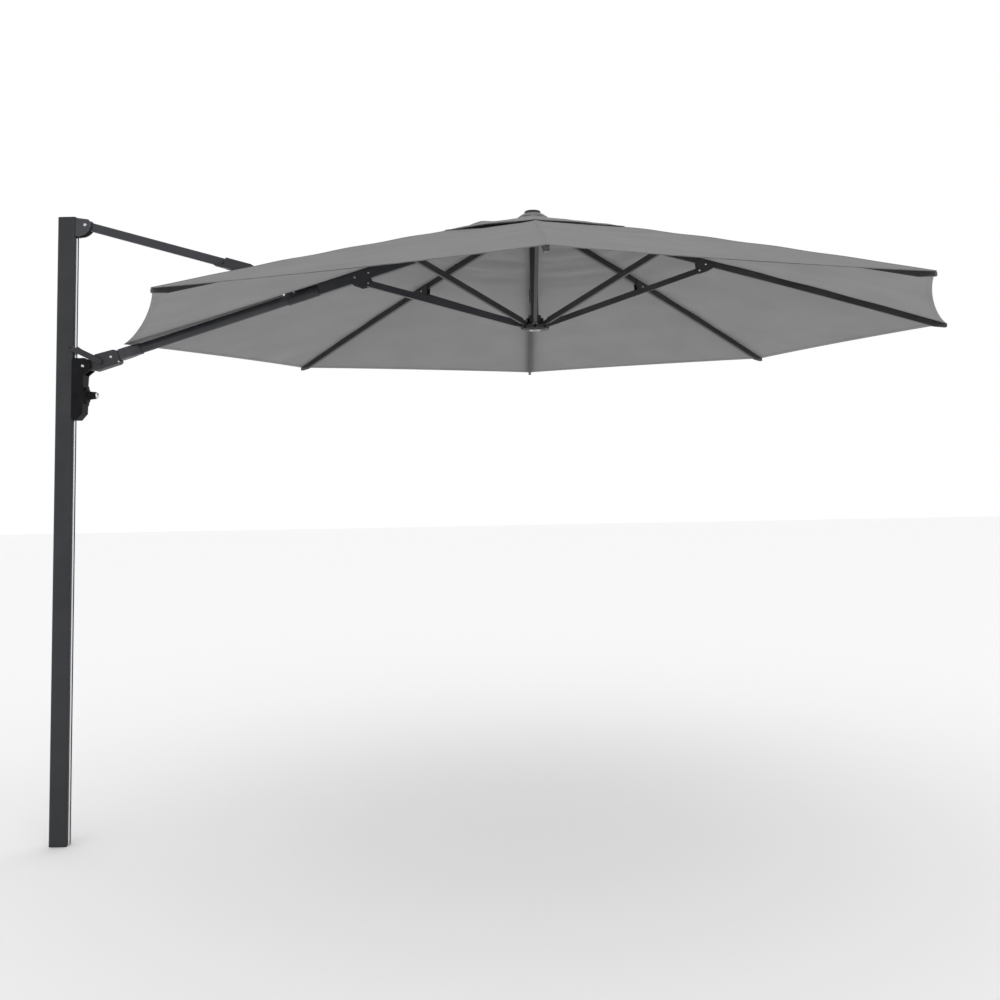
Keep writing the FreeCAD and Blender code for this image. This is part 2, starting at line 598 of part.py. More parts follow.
def bowed_bar(r_start, r_end, height, width):
    """A bar along the rib's bowed axis, with square ends."""
    def edge(r, off):
        lean = math.radians(rib_slope(r) + 90)
        return r + off * math.cos(lean), rib_line(r) + off * math.sin(lean)
    middle = (r_start + r_end) / 2
    wire = outline(edge(r_start, -height / 2), (edge(middle, -height / 2), edge(r_end, -height / 2)),
                   edge(r_end, height / 2), (edge(middle, height / 2), edge(r_start, height / 2)))
    return plate(wire, -width / 2, width / 2)


def make_rib(number, azimuth):
    """A bowed rectangular tube with a tongue at the crown, a moulded tip and the rib strut's bracket."""
    tube_end = CANOPY_R - RIB_TIP_LENGTH
    tube = bowed_bar(RIB_START, tube_end, RIB_HEIGHT, RIB_WIDTH)
    inner_height = RIB_HEIGHT - 2 * TUBE_WALL
    inner_width = RIB_WIDTH - 2 * TUBE_WALL
    tube = tube.cut(bowed_bar(RIB_START - 5, tube_end + 5, inner_height, inner_width))

    tongue = bowed_bar(PIVOT_R, RIB_START + 30, inner_height, TONGUE_WIDTH)
    tongue = tongue.fuse(Part.makeCylinder(inner_height / 2, TONGUE_WIDTH,
                                           Vector(PIVOT_R, -TONGUE_WIDTH / 2, CROWN_Z), Vector(0, 1, 0)))
    tongue = tongue.cut(cross_rod((PIVOT_R, CROWN_Z), PIN_R + PIN_CLEARANCE, 20)).removeSplitter()

    top_of = [(r, rib_line(r) + RIB_HEIGHT / 2 / math.cos(math.radians(rib_slope(r)))) for r in (tube_end, CANOPY_R)]
    nose = outline(top_of[0], (top_of[1][0] - 3, top_of[1][1] + 1), (top_of[1][0], top_of[1][1] - 3),
                   (CANOPY_R, top_of[1][1] - RIB_TIP_HEIGHT + 3), (CANOPY_R - 4, top_of[1][1] - RIB_TIP_HEIGHT),
                   (tube_end, top_of[0][1] - RIB_HEIGHT - 0.5))
    tip = plate(nose, -RIB_WIDTH / 2, RIB_WIDTH / 2)
    tip = tip.fuse(bowed_bar(tube_end - 30, tube_end + 2, inner_height, inner_width)).removeSplitter()

    rivet = (BRACKET_R, BRACKET_Z)
    top = rib_line(BRACKET_R) + RIB_HEIGHT / 2 - 4
    bottom = rib_line(BRACKET_R) - RIB_HEIGHT / 2
    cheek = outline((BRACKET_R - 17, top + 4), (BRACKET_R - 12, BRACKET_Z),
                    ((BRACKET_R - 8, BRACKET_Z - 11), (BRACKET_R + 4, BRACKET_Z - 12)),
                    (BRACKET_R + 36, BRACKET_Z - 2), (BRACKET_R + 56, bottom - 17), (BRACKET_R + 56, top - 12))
    rivet_rod = bolt(rivet, RIB_WIDTH / 2 + 2.5, PIN_R, 4.5, 1.6)
    plates = [side.cut(rivet_rod) for side in cheeks(cheek, RIB_WIDTH / 2, RIB_WIDTH / 2 + 2.5)]
    keep(f"rib_{number}", *[radial(piece, azimuth) for piece in [tube, tongue, tip, rivet_rod] + plates])


STRUT_EYE_R = 7.0
TRUNNION_R = 2.5


def strut_between(bracket, hub, height, width):
    """A tubular strut from a bracket's rivet to the runner, with a flat tongue at the runner."""
    length = math.dist(bracket, hub)
    lean = angle_of(bracket, hub)
    bar_end = length - 34
    half = height / 2
    bar = plate(outline((0, -half), (bar_end, -half), (bar_end, half), (0, half), ((-half, 0), (0, -half))),
                -width / 2, width / 2)
    bar = bar.cut(block(18, bar_end + 1, width / 2 - TUBE_WALL, -half + TUBE_WALL, half - TUBE_WALL))
    bar = bar.cut(cross_rod((0, 0), PIN_R + PIN_CLEARANCE, 40))
    root = half - TUBE_WALL
    eye = outline((bar_end - 30, -root), (bar_end, -root), (length, -STRUT_EYE_R),
                  ((length + STRUT_EYE_R, 0), (length, STRUT_EYE_R)), (bar_end, root), (bar_end - 30, root))
    return bar, plate(eye, -TONGUE_WIDTH / 2, TONGUE_WIDTH / 2), length, lean


def make_rib_strut(number, azimuth):
    bracket = (BRACKET_R, BRACKET_Z)
    bar, tongue, length, lean = strut_between(bracket, (PIVOT_R, RUNNER_Z), STRUT_HEIGHT, STRUT_WIDTH)
    tongue = tongue.cut(cross_rod((length, 0), PIN_R + PIN_CLEARANCE, 20))
    keep(f"rib_strut_{number}", *[radial(stand(piece, bracket, lean), azimuth) for piece in (bar, tongue)])


def make_arm_strut():
    """The arm's own, stouter strut. Short trunnions on its tongue lie in the runner's eighth slot."""
    width = 2 * UPPER_TUBE_HALF_WIDTH - 1.0
    bar, tongue, length, lean = strut_between(ARM_BRACKET, ARM_RUNNER_PIVOT, ARM_STRUT_HEIGHT, width)
    tongue = tongue.fuse(cross_rod((length, 0), TRUNNION_R, SLOT_WIDTH / 2 - 0.5)).removeSplitter()
    keep("arm_strut", *[stand(piece, ARM_BRACKET, lean) for piece in (bar, tongue)])


# ---------------------------------------------------------------- cloth

VENT_R = 225.0
FLAP_R = 475.0
FLAP_RISE = 8.0
FITTING_SLOT = (838.0, 932.0, 42.0)


def cloth(rings):
    """A closed thin shell of flat trapezoids through rings of (radius, underside height), innermost first."""
    def corner(ring, azimuth, lift):
        turn = math.radians(azimuth)
        return Vector(HUB_X + ring[0] * math.cos(turn), ring[0] * math.sin(turn), ring[1] + lift)

    def panel(*corners):
        return Part.Face(Part.makePolygon(list(corners) + [corners[0]]))

    step = 360.0 / RIB_COUNT
    faces = []
    for azimuth in azimuths():
        following = azimuth + step
        for inner, outer in zip(rings, rings[1:]):
            for lift in (0.0, FABRIC):
                faces.append(panel(corner(inner, azimuth, lift), corner(outer, azimuth, lift),
                                   corner(outer, following, lift), corner(inner, following, lift)))
        for ring in (rings[0], rings[-1]):
            faces.append(panel(corner(ring, azimuth, 0.0), corner(ring, following, 0.0),
                               corner(ring, following, FABRIC), corner(ring, azimuth, FABRIC)))
    solid = Part.makeSolid(Part.makeShell(faces))
    return solid if solid.Volume > 0 else solid.reversed()


def make_cloth():
    """The canopy, open at the vent and slotted for the strut's fitting, and the vent flap above it."""
    def over_rib(r):
        return r, rib_line(r) + RIB_HEIGHT / 2 / math.cos(math.radians(rib_slope(r))) + FABRIC_GAP

    canopy = cloth([over_rib(r) for r in (VENT_R, 640, 1000, 1340, CANOPY_R - 4)])
    slot = block(FITTING_SLOT[0], FITTING_SLOT[1], FITTING_SLOT[2], RIM_Z, RIM_Z + 400)
    keep("canopy", canopy.cut(slot))
    flap_edge = (FLAP_R, over_rib(FLAP_R)[1] + FABRIC + FLAP_RISE)
    keep("vent_flap", cloth([(12.0, CROWN_Z + 33), (75.0, CROWN_Z + 27), flap_edge]))


def main():
    make_post()
    make_top_bracket()
    make_upper_strut()
    make_arm_end()
    make_elbow_sleeve()
    make_upper_arm()
    make_carriage()
    make_knob()
    make_guide_link()
    make_crown()
    make_runner()
    for number, azimuth in enumerate(rib_azimuths(), start=1):
        make_rib(number, azimuth)
        make_rib_strut(number, azimuth)
    make_arm_strut()
    make_cloth()
    os.makedirs("parts", exist_ok=True)
    for name, shape in NODES.items():
        if not shape.isValid():
            print("not valid:", name)
        shape.exportStep(f"parts/{name}.step")
    print(len(NODES), "nodes")


main()
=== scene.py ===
import bpy
import math
from mathutils import Matrix, Vector


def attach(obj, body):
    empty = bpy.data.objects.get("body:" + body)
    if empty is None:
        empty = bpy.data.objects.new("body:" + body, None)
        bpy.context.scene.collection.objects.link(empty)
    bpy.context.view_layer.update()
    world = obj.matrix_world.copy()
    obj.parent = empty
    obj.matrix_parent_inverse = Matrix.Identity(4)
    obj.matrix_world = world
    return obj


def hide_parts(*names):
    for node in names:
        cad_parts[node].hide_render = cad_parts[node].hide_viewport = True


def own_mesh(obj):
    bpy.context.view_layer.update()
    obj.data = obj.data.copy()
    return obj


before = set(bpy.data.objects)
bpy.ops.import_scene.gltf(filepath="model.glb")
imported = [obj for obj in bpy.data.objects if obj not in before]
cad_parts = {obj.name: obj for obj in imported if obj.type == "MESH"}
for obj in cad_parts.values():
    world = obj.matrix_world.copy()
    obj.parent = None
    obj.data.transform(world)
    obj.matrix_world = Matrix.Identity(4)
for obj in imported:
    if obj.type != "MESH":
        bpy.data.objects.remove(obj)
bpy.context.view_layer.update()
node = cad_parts

# ------------------------------------------------------------------ camera
# A level photographer's camera a little below the canopy's rim, looking up slightly.
eye_at = Vector((1.8026, -4.4023, 1.3811))
yaw, pitch, roll = -0.01206, 0.08572, -0.01915
ahead = Vector((math.sin(yaw) * math.cos(pitch), math.cos(yaw) * math.cos(pitch), math.sin(pitch)))
level_right = Vector((math.cos(yaw), -math.sin(yaw), 0))
level_up = level_right.cross(ahead)
right = math.cos(roll) * level_right + math.sin(roll) * level_up
up = math.cos(roll) * level_up - math.sin(roll) * level_right
camera_data = bpy.data.cameras.new("camera")
camera_data.sensor_width = 36
camera_data.lens = 39.63
camera_data.shift_y = -0.1137
camera_data.clip_end = 200
camera = bpy.data.objects.new("camera", camera_data)
camera.matrix_world = Matrix.Translation(eye_at) @ Matrix((right, up, -ahead)).transposed().to_4x4()
bpy.context.scene.collection.objects.link(camera)
bpy.context.scene.camera = camera
bpy.context.scene.view_settings.view_transform = "Standard"

# ------------------------------------------------------------------ post
# One aluminium extrusion, powder-coated anthracite, with an open channel down its front. A T-shaped
# rail of bare aluminium stands in the channel. A moulded cap closes the top and a plug the foot.


def new_finish(name, rough, metallic=0.0, coat=0.0, specular=0.5):
    finish = bpy.data.materials.new(name)
    finish.use_nodes = True
    shader = finish.node_tree.nodes["Principled BSDF"]
    shader.inputs["Roughness"].default_value = rough
    shader.inputs["Metallic"].default_value = metallic
    shader.inputs["Coat Weight"].default_value = coat
    shader.inputs["Specular IOR Level"].default_value = specular
    return finish, finish.node_tree, shader


def grain(tree, scale, detail=3.0, stretch=(1, 1, 1)):
    """Noise that is fixed to the piece itself."""
    place = tree.nodes.new("ShaderNodeTexCoord")
    turn = tree.nodes.new("ShaderNodeMapping")
    turn.inputs["Scale"].default_value = stretch
    noise = tree.nodes.new("ShaderNodeTexNoise")
    noise.inputs["Scale"].default_value = scale
    noise.inputs["Detail"].default_value = detail
    tree.links.new(place.outputs["Object"], turn.inputs["Vector"])
    tree.links.new(turn.outputs["Vector"], noise.inputs["Vector"])
    return noise


def ramp(tree, source, low, high, start=0.3, end=0.7):
    shades = tree.nodes.new("ShaderNodeValToRGB")
    shades.color_ramp.elements[0].position = start
    shades.color_ramp.elements[1].position = end
    shades.color_ramp.elements[0].color = (*low, 1)
    shades.color_ramp.elements[1].color = (*high, 1)
    tree.links.new(source, shades.inputs["Fac"])
    return shades.outputs["Color"]


def relief(tree, shader, height, strength, depth):
    bump = tree.nodes.new("ShaderNodeBump")
    bump.inputs["Strength"].default_value = strength
    bump.inputs["Distance"].default_value = depth
    tree.links.new(height, bump.inputs["Height"])
    tree.links.new(bump.outputs["Normal"], shader.inputs["Normal"])


def powder_coat(name, dark, light, rough=0.42):
    """Baked polyester powder: faint orange peel, cloudy sheen and slightly paler handled spots."""
    finish, tree, shader = new_finish(name, rough, specular=0.45)
    clouds = grain(tree, 7.0, 5.0)
    tree.links.new(ramp(tree, clouds.outputs["Fac"], dark, light), shader.inputs["Base Color"])
    peel = grain(tree, 900.0, 2.0)
    relief(tree, shader, peel.outputs["Fac"], 0.35, 0.0006)
    sheen = tree.nodes.new("ShaderNodeMapRange")
    sheen.inputs["To Min"].default_value = rough - 0.07
    sheen.inputs["To Max"].default_value = rough + 0.12
    tree.links.new(clouds.outputs["Fac"], sheen.inputs["Value"])
    tree.links.new(sheen.outputs["Result"], shader.inputs["Roughness"])
    return finish


def moulded_plastic(name, dark, light, rough=0.55, specular=0.4):
    """Spark-grained nylon moulding."""
    finish, tree, shader = new_finish(name, rough, specular=specular)
    tone = grain(tree, 22.0, 4.0)
    tree.links.new(ramp(tree, tone.outputs["Fac"], dark, light), shader.inputs["Base Color"])
    pits = grain(tree, 1400.0, 2.0)
    relief(tree, shader, pits.outputs["Fac"], 0.5, 0.0004)
    return finish


def drawn_metal(name, dark, light, rough, stretch):
    """Bare metal with the fine lines of the die or brush along it."""
    finish, tree, shader = new_finish(name, rough, metallic=1.0)
    lines = grain(tree, 60.0, 6.0, stretch)
    tree.links.new(ramp(tree, lines.outputs["Fac"], dark, light), shader.inputs["Base Color"])
    relief(tree, shader, lines.outputs["Fac"], 0.15, 0.0003)
    return finish


def give(finish, *names):
    """Gives kept CAD nodes their finish."""
    for name in names:
        for holder in node[name].material_slots:
            holder.material = finish


post_coat = powder_coat("post_coat", (0.010, 0.012, 0.015), (0.019, 0.022, 0.026), 0.36)
bare_rail = drawn_metal("bare_rail", (0.62, 0.62, 0.64), (0.80, 0.80, 0.81), 0.34, (9, 9, 0.05))
black_nylon = moulded_plastic("black_nylon", (0.009, 0.010, 0.011), (0.017, 0.018, 0.020))
give(post_coat, "post_tube")
give(bare_rail, "guide_rail")
give(black_nylon, "post_top_cap", "post_foot_plug")

# ------------------------------------------------------------------ top bracket
# Two pressed cheeks on a back plate, screwed to the channel's lips. A stainless bolt carries the strut.
bracket_coat = powder_coat("bracket_coat", (0.030, 0.033, 0.040), (0.045, 0.049, 0.057), 0.45)
stainless = drawn_metal("stainless", (0.52, 0.52, 0.53), (0.74, 0.74, 0.75), 0.24, (3, 3, 3))
give(bracket_coat, "top_bracket")
give(stainless, "top_bracket_screws", "top_pivot_bolt")

# ------------------------------------------------------------------ upper strut
# A rectangular tube with a cast eye at the post. A cast sleeve at its lower end forks round the arm.
arm_coat = powder_coat("arm_coat", (0.022, 0.023, 0.029), (0.034, 0.035, 0.042), 0.40)
cast_coat = powder_coat("cast_coat", (0.016, 0.016, 0.021), (0.027, 0.027, 0.033), 0.50)
give(arm_coat, "upper_strut_tube")
give(cast_coat, "upper_strut_eye", "upper_strut_fitting")
blacked_steel = drawn_metal("blacked_steel", (0.035, 0.035, 0.038), (0.07, 0.07, 0.075), 0.42, (3, 3, 3))
give(blacked_steel, "upper_strut_screws")

# ------------------------------------------------------------------ arm
# A cast end on the carriage, a neck, a round lower tube and a rectangular upper tube. The sleeve
# between the tubes clamps the upper one's spigot, so that the canopy can be turned to the side.
collar_coat = powder_coat("collar_coat", (0.032, 0.032, 0.040), (0.050, 0.050, 0.058), 0.45)
give(cast_coat, "arm_end_casting", "arm_sleeve", "arm_bracket", "arm_crown_eye", "tilt_spigot")
give(arm_coat, "arm_neck", "arm_lower_tube", "arm_upper_tube", "arm_strut")
give(collar_coat, "arm_collar")
give(stainless, "arm_end_bolts", "arm_bracket_bolts")
give(blacked_steel, "arm_sleeve_bolts", "elbow_pin")

# ------------------------------------------------------------------ carriage and knob
# A glass-filled nylon moulding slides on the post. White glides hook over the rail. A ribbed knob with
# a bright end cap screws a brake pad against it.
carriage_nylon = moulded_plastic("carriage_nylon", (0.004, 0.004, 0.004), (0.009, 0.009, 0.009), 0.6, 0.12)
white_nylon = moulded_plastic("white_nylon", (0.55, 0.55, 0.53), (0.66, 0.66, 0.64), 0.5)
pad_rubber = moulded_plastic("pad_rubber", (0.008, 0.008, 0.008), (0.014, 0.014, 0.014), 0.85)
bright_metal = drawn_metal("bright_metal", (0.66, 0.66, 0.67), (0.85, 0.85, 0.86), 0.15, (2, 2, 2))
give(carriage_nylon, "carriage_body", "knob_grip")
give(white_nylon, "carriage_glides")
give(pad_rubber, "brake_pad")
give(stainless, "carriage_pivot_bolt", "knob_spindle")
give(bright_metal, "knob_cap")

# ------------------------------------------------------------------ guide link
# Two cast cheeks hinge on the arm's end, and their rollers run down the post's sides.
give(cast_coat, "guide_link")
give(blacked_steel, "guide_link_pins")
give(black_nylon, "guide_rollers")

# ------------------------------------------------------------------ crown, runner and pole
# The crown and runner are slotted castings for eight ribs and struts. The pole stands on the runner.
hub_coat = powder_coat("hub_coat", (0.022, 0.020, 0.020), (0.034, 0.031, 0.030), 0.48)
cap_brown = moulded_plastic("cap_brown", (0.020, 0.015, 0.012), (0.032, 0.025, 0.020), 0.5)
ring_metal = drawn_metal("ring_metal", (0.40, 0.40, 0.40), (0.62, 0.62, 0.62), 0.35, (3, 3, 3))
give(hub_coat, "crown", "runner", "centre_pole")
give(cap_brown, "finial")
give(black_nylon, "pole_head")
give(stainless, "crown_pins", "runner_pins")
give(ring_metal, "runner_ring")

# ------------------------------------------------------------------ ribs and rib struts
# Bowed rectangular tubes hinge in the crown, with moulded tips. A riveted bracket under each holds its
# strut to the runner. The rivets' heads are bright.
rib_coat = powder_coat("rib_coat", (0.024, 0.022, 0.022), (0.040, 0.037, 0.037), 0.42)
hub_x = 1.895
rim_z = 1.975
crown_z = rim_z + 0.446
pivot_r = 0.045
rib_bow = 0.009
rib_azimuths = (0, 45, 90, 135, 225, 270, 315)
bracket_r = 0.668
bracket_z = rim_z + 0.2375
rivet_r = 0.0046
rivet_rise = 0.0022
bracket_half = 0.0095
pivot_boss = 0.0012
fixing_r = bracket_r + 0.026
fixing_z = rim_z + 0.262


def from_hub(azimuth, r, side, z):
    """A place given by azimuth, distance from the hub axis, distance to the side and height."""
    turn = math.radians(azimuth)
    return Vector((hub_x + r * math.cos(turn) - side * math.sin(turn),
                   r * math.sin(turn) + side * math.cos(turn), z))


def piece_of(name, vertices, faces, finish, smooth=True):
    mesh = bpy.data.meshes.new(name)
    mesh.from_pydata([tuple(v) for v in vertices], [], faces)
    mesh.update()
    mesh.polygons.foreach_set("use_smooth", [smooth] * len(mesh.polygons))
    mesh.materials.append(finish)
    piece = bpy.data.objects.new(name, mesh)
    bpy.context.scene.collection.objects.link(piece)
    return piece


def domed_heads(name, places, radius, rise, finish):
    """Domed heads, each from its foot's centre and the way it faces."""
    rings = ((1.0, 0.0), (1.0, 0.35), (0.86, 0.72), (0.55, 0.95), (0.18, 1.0))
    count = 20
    vertices, faces = [], []
    for foot, facing in places:
        across = facing.orthogonal().normalized()
        along = facing.cross(across)
        start = len(vertices)
        for size, height in rings:
            for k in range(count):
                turn = 2 * math.pi * k / count
                off = across * math.cos(turn) + along * math.sin(turn)
                vertices.append(foot + off * radius * size + facing * rise * height)
        for ring in range(len(rings) - 1):
            for k in range(count):
                a = start + ring * count + k
                b = start + ring * count + (k + 1) % count
                faces.append((a, b, b + count, a + count))
        faces.append(tuple(start + (len(rings) - 1) * count + k for k in range(count)))
    return piece_of(name, vertices, faces, finish)


for number, azimuth in enumerate(rib_azimuths, start=1):
    give(rib_coat, f"rib_{number}", f"rib_strut_{number}")
    places = []
    for sign in (1, -1):
        facing = from_hub(azimuth, 0, sign, 0) - from_hub(azimuth, 0, 0, 0)
        places.append((from_hub(azimuth, bracket_r, sign * (bracket_half + pivot_boss), bracket_z), facing))
        places.append((from_hub(azimuth, fixing_r, sign * bracket_half, fixing_z), facing))
    heads = domed_heads(f"rivets_{number}", places, rivet_r, rivet_rise, stainless)
    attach(heads, f"rib_{number}")

# ------------------------------------------------------------------ canopy cloth
# Solution-dyed polyester, cut in eight gores that are sewn over the ribs and stretched to their tips.
# Each gore folds with its own rib. The one over the arm has a slot for the upper strut. The underside
# is painted paler and the top darker, as painted light and shade, and the hem is turned under and stitched.


def woven_cloth(name, low, high, rough=0.88):
    """A plain weave: warp and weft ridges, slubs and broad uneven shade."""
    finish, tree, shader = new_finish(name, rough, specular=0.25)
    shader.inputs["Sheen Weight"].default_value = 0.08
    shader.inputs["Sheen Roughness"].default_value = 0.5
    blotch = grain(tree, 5.0, 6.0)
    slub = grain(tree, 420.0, 3.0)
    mixed = tree.nodes.new("ShaderNodeMath")
    mixed.operation = "MULTIPLY_ADD"
    mixed.inputs[1].default_value = 0.35
    tree.links.new(slub.outputs["Fac"], mixed.inputs[0])
    tree.links.new(blotch.outputs["Fac"], mixed.inputs[2])
    tree.links.new(ramp(tree, mixed.outputs["Value"], low, high, 0.45, 0.9), shader.inputs["Base Color"])
    spread = tree.nodes.new("ShaderNodeUVMap")
    threads = []
    for direction in ("X", "Y"):
        wave = tree.nodes.new("ShaderNodeTexWave")
        wave.bands_direction = direction
        wave.inputs["Scale"].default_value = 260.0
        wave.inputs["Distortion"].default_value = 0.6
        tree.links.new(spread.outputs["UV"], wave.inputs["Vector"])
        threads.append(wave)
    weave = tree.nodes.new("ShaderNodeMath")
    weave.operation = "MAXIMUM"
    tree.links.new(threads[0].outputs["Fac"], weave.inputs[0])
    tree.links.new(threads[1].outputs["Fac"], weave.inputs[1])
    relief(tree, shader, weave.outputs["Value"], 0.25, 0.0004)
    return finish


# One cloth in two copies: a darker one for the top and a paler one for the underside, as painted shade and
# painted light.
cloth = woven_cloth("cloth", (0.158, 0.158, 0.159), (0.180, 0.180, 0.181))
cloth_underside_painted_lighter = woven_cloth("cloth_underside_painted_lighter", (0.232, 0.232, 0.233), (0.262, 0.262, 0.263))
# The hem likewise: a darker top copy and a paler underside copy, as painted shade and painted light.
hem_cloth = woven_cloth("hem_cloth", (0.150, 0.150, 0.151), (0.174, 0.174, 0.175))
hem_underside_painted_lighter = woven_cloth("hem_underside_painted_lighter", (0.215, 0.215, 0.216), (0.248, 0.248, 0.249))
# Near-black cloth for the vent flap's edge band: painted shade for the shadow under the flap's edge.
flap_edge_painted_shade = woven_cloth("flap_edge_painted_shade", (0.030, 0.030, 0.032), (0.050, 0.050, 0.053))

rim_r = 1.652
arm_rim_r = 1.664
vent_r = 0.225
cloth_over_rib = 0.0145
hem_inset = 0.0195
cloth_thick = 0.0014
rib_end_r = 1.65
rib_end_z = rim_z - 0.013
arm_azimuth = 180
cloth_azimuths = tuple(range(0, 360, 45))
body_at = {azimuth: f"rib_{number}" for number, azimuth in enumerate(rib_azimuths, start=1)}
body_at[arm_azimuth] = "upper_arm"


arm_pivot_x, arm_pivot_z = 0.076, 1.873
arm_slope = 0.3089
arm_half_depth = 0.0225


def arm_top(r):
    """Height of the arm's upper face."""
    return arm_pivot_z + (hub_x - r - arm_pivot_x) * arm_slope + arm_half_depth


def over_rib(azimuth, r):
    """Height of the cloth over a rib, or over the arm."""
    if azimuth == arm_azimuth:
        return arm_top(r) + 0.006 + 0.012 * max(0.0, (r - 0.8) / 0.86) ** 2
    share = (r - pivot_r) / (rib_end_r - pivot_r)
    rib = crown_z + (rib_end_z - crown_z) * share + 4 * rib_bow * share * (1 - share)
    fade = min(1.0, max(0.0, (1.6 - r) / 0.4))
    ripple = 0.0012 * (1 + math.sin(2 * math.pi * r / 0.27 + azimuth)) * fade
    return rib + cloth_over_rib + ripple


def soft_folds(panel, s, r):
    """Slack near the crown gathers in a few soft folds that cross the panel."""
    size = 0.0075 if panel in (1, 2) else 0.0045
    near_crown = math.exp(-((r - 0.44) / 0.20) ** 2)
    phase = 1.7 * panel + 2.2 * s + 0.8 * math.sin(5 * s + panel)
    across = math.sin(2 * math.pi * r / 0.15 + phase) + 0.5 * math.sin(2 * math.pi * r / 0.083 - phase)
    return size * 4 * s * (1 - s) * near_crown * across


def on_panel(panel, s, k, inner_r, outer_r, height, inset):
    """A point of the panel between one rib and the next: s across it, k from its inner edge to its hem."""
    azimuth = 45 * panel % 360
    ends = []
    for end in (azimuth, (azimuth + 45) % 360):
        r = inner_r + (outer_r(end) - inner_r) * k
        r_in = r * (1 - inset * k * (4 * s * (1 - s)) ** 0.7)
        ends.append(from_hub(end, r_in, 0, height(end, r)))
    return ends[0].lerp(ends[1], s)


def main_place(panel, s, k):
    spot = on_panel(panel, s, k, vent_r, lambda end: arm_rim_r if end == arm_azimuth else rim_r,
                    over_rib, hem_inset)
    r = vent_r + (rim_r - vent_r) * k
    spot.z += soft_folds(panel, s, r) - 0.010 * 4 * s * (1 - s) * math.sin(math.pi * k)
    return spot


def cloth_normal(place, panel, s, k):
    """The surface's upward normal, worked out from the whole panel so that gores meet without a line."""
    step = 0.004
    s0, s1 = max(0.0, s - step), min(1.0, s + step)
    k0, k1 = max(0.0, k - step), min(1.0, k + step)
    along = place(panel, s1, k) - place(panel, s0, k)
    out = place(panel, s, k1) - place(panel, s, k0)
    return out.cross(along).normalized()


def gore(name, azimuth, across, stations, place, finishes, thickness, leave=None, lift=0.0,
         sides=(-1, 1)):
    """Half a panel to each side of one rib, or to one side: a thin closed sheet with the panel's normals."""
    index = azimuth // 45
    columns = []
    if -1 in sides:
        columns += [(index - 1, 1 - s) for s in reversed(across[1:] if 1 in sides else across)]
    if 1 in sides:
        columns += [(index, s) for s in across]
    ridge = len(across) - 1 if -1 in sides else 0
    top, normals, ridge_normals, spread = [], [], [], []
    middle = from_hub(azimuth, 1, 0, 0) - from_hub(azimuth, 0, 0, 0)
    side = from_hub(azimuth, 0, 1, 0) - from_hub(azimuth, 0, 0, 0)
    for k in stations:
        for panel, s in columns:
            spot = place(panel, s, k)
            normal = cloth_normal(place, panel, s, k)
            top.append(spot + normal * lift)
            normals.append(normal)
            away = spot - Vector((hub_x, 0, spot.z))
            spread.append((away.dot(side), away.dot(middle)))
        ridge_normals.append(cloth_normal(place, index - 1, 1 - across[0], k))
    wide, count = len(columns), len(top)
    vertices = [spot + normal * thickness / 2 for spot, normal in zip(top, normals)]
    vertices += [spot - normal * thickness / 2 for spot, normal in zip(top, normals)]
    faces, edges = [], []
    for i in range(len(stations) - 1):
        for j in range(wide - 1):
            face = (i * wide + j, (i + 1) * wide + j, (i + 1) * wide + j + 1, i * wide + j + 1)
            middle_of = sum((top[v] for v in face), Vector()) / 4
            if leave is None or not leave(middle_of):
                faces.append(face)
                edges.extend(zip(face, face[1:] + face[:1]))
    under = [tuple(v + count for v in reversed(face)) for face in faces]
    shared = set(edges)
    rims = [(b, a, a + count, b + count) for a, b in edges if (b, a) not in shared]
    # The second finish, the paler copy, goes on the underside faces as painted light.
    outside, inside = finishes
    piece = piece_of(name, vertices, faces + under + rims, outside)
    piece.data.materials.append(inside)
    laid = piece.data.uv_layers.new(name="UVMap")
    for loop in piece.data.loops:
        laid.data[loop.index].uv = spread[loop.vertex_index % count]
    corner_normals = []
    for face in piece.data.polygons:
        corners = [v % count for v in face.vertices]
        rim = face.index >= 2 * len(faces)
        face.use_smooth = not rim
        face.material_index = int(len(faces) <= face.index < 2 * len(faces))
        before_ridge = min(v % wide for v in corners) < ridge
        for v in face.vertices:
            normal = normals[v % count]
            if before_ridge and v % wide == ridge:
                normal = ridge_normals[v % count // wide]
            corner_normals.append((0, 0, 0) if rim else tuple(normal if v < count else -normal))
    piece.data.normals_split_custom_set(corner_normals)
    return piece, sum(face.area for face in piece.data.polygons[:len(faces)])


def fold_with_rib(piece, azimuth):
    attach(piece, body_at[azimuth])
    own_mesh(piece)


slot_start = 0.872
slot_end = 0.918


def in_strut_slot(place):
    """The opening over the elbow, where the upper strut's fork comes through the cloth."""
    return slot_start < place.x < slot_end and abs(place.y) < 0.036


def share_at(x):
    return (hub_x - x - vent_r) / (arm_rim_r - vent_r)


half_panel = (0, 0.014, 0.030, 0.055, 0.09, 0.14, 0.20, 0.26, 0.32, 0.38, 0.44, 0.5)
crown_to_rim = sorted([i / 44 for i in range(45)] + [share_at(slot_start), share_at(slot_end)])
hem_width = 0.022
seam_width = 0.015
seam_across = (0, 0.25, 0.49)
strip_width = 0.100
strip_across = (0, 0.1, 0.25, 0.45, 0.4999)
hem_share = hem_width / (rim_r - vent_r)
hem_stations = (1 - hem_share, 1 - hem_share / 2, 1.0)
hem_thick = cloth_thick * 1.9


def near_rib(panel, s, k, width):
    """A point of the panel within a band of fixed width over the rib at s = 0 or 1."""
    r = vent_r + (rim_r - vent_r) * k
    from_rib = (s if s < 0.5 else 1 - s) * width / (2 * r * math.sin(math.pi / 8))
    return main_place(panel, from_rib if s < 0.5 else 1 - from_rib, k)


def seam_place(panel, s, k):
    """A seam allowance of constant width lies over the rib, close against both panels."""
    return near_rib(panel, s, k, seam_width)


def strip_place(panel, s, k):
    """The cloth straight over the arm, which stays flat when the rest folds, so that its slot stays open."""
    return near_rib(panel, s, k, strip_width)


